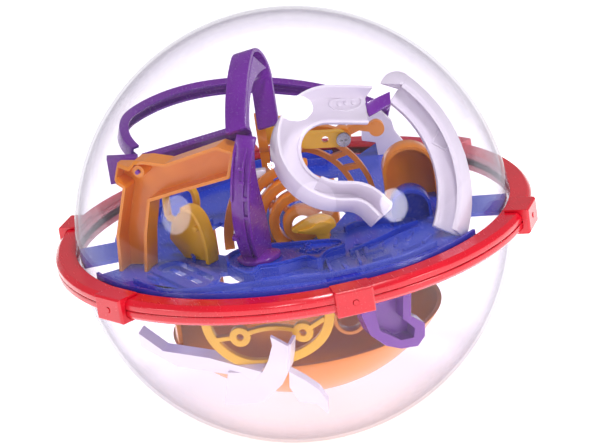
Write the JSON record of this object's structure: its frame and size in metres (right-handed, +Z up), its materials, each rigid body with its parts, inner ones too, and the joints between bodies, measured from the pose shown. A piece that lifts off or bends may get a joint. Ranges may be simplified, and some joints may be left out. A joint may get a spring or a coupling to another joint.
{
  "type": "tilt maze game",
  "caption": "Clear sphere with a clipped ring, holding coloured tracks, chutes and a deck that a steel ball is tilted along.",
  "frame": {"origin": "centre of the clear sphere, in the plane where the two domes meet", "axes": "+Z up, out of the ring's plane; the front, with the white curved tracks, faces about -Y"},
  "size_m": [0.2084, 0.2146, 0.19],
  "materials": {
    "clear_dome": "clear, polished",
    "red_plastic": "gloss moulded",
    "bright_steel": "polished",
    "blue_plastic": "gloss moulded",
    "purple_plastic": "satin moulded",
    "orange_plastic": "satin moulded",
    "yellow_plastic": "satin moulded",
    "white_plastic": "satin moulded"
  },
  "bodies": {
    "maze": {"arch_track": "white_plastic", "arm": "orange_plastic", "bridge": "orange_plastic", "c_track": "purple_plastic", "clip_pins": "red_plastic", "cup_hanger": "orange_plastic", "deck": "blue_plastic", "deck_hood": "blue_plastic", "deck_platform": "blue_plastic", "deck_rail": "purple_plastic", "dish": "orange_plastic", "gate": "orange_plastic", "gate_pin": "purple_plastic", "halo_rail": "purple_plastic", "hoop": "purple_plastic", "hoop_web": "purple_plastic", "j_chute": "white_plastic", "lever_screw": "bright_steel", "lower_dome": "clear_dome", "lower_fin": "white_plastic", "lower_rail": "white_plastic", "orange_cup": "orange_plastic", "purple_scoop": "purple_plastic", "quadrant": "yellow_plastic", "rail_bracket": "purple_plastic", "rear_bracket": "white_plastic", "rear_rail": "purple_plastic", "ring_clip_1": "red_plastic", "ring_clip_2": "red_plastic", "ring_clip_3": "red_plastic", "ring_clip_4": "red_plastic", "ring_clip_5": "red_plastic", "ring_clip_6": "red_plastic", "ring_lower": "red_plastic", "ring_upper": "red_plastic", "s_track": "white_plastic", "scoop": "yellow_plastic", "spiral": "orange_plastic", "spool": "yellow_plastic", "spool_collar": "orange_plastic", "thin_hoop": "orange_plastic", "upper_dome": "clear_dome", "yellow_loop": "yellow_plastic"},
    "lever": {"lever": "yellow_plastic"},
    "ball": {"steel_ball": "bright_steel"}
  },
  "joints": [
    {"name": "lever_pivot", "type": "hinge", "parent": "maze", "child": "lever", "pos_m": [0.02451, -0.01403, 0.0385], "axis": [-0.1871, -0.9823, 0], "range_deg": [-12, 12]},
    {"name": "ball_run", "type": "hinge", "parent": "maze", "child": "ball", "pos_m": [0, 0, 0.00805], "axis": [0, 0, 1], "range_deg": [-33, 41]}
  ]
}
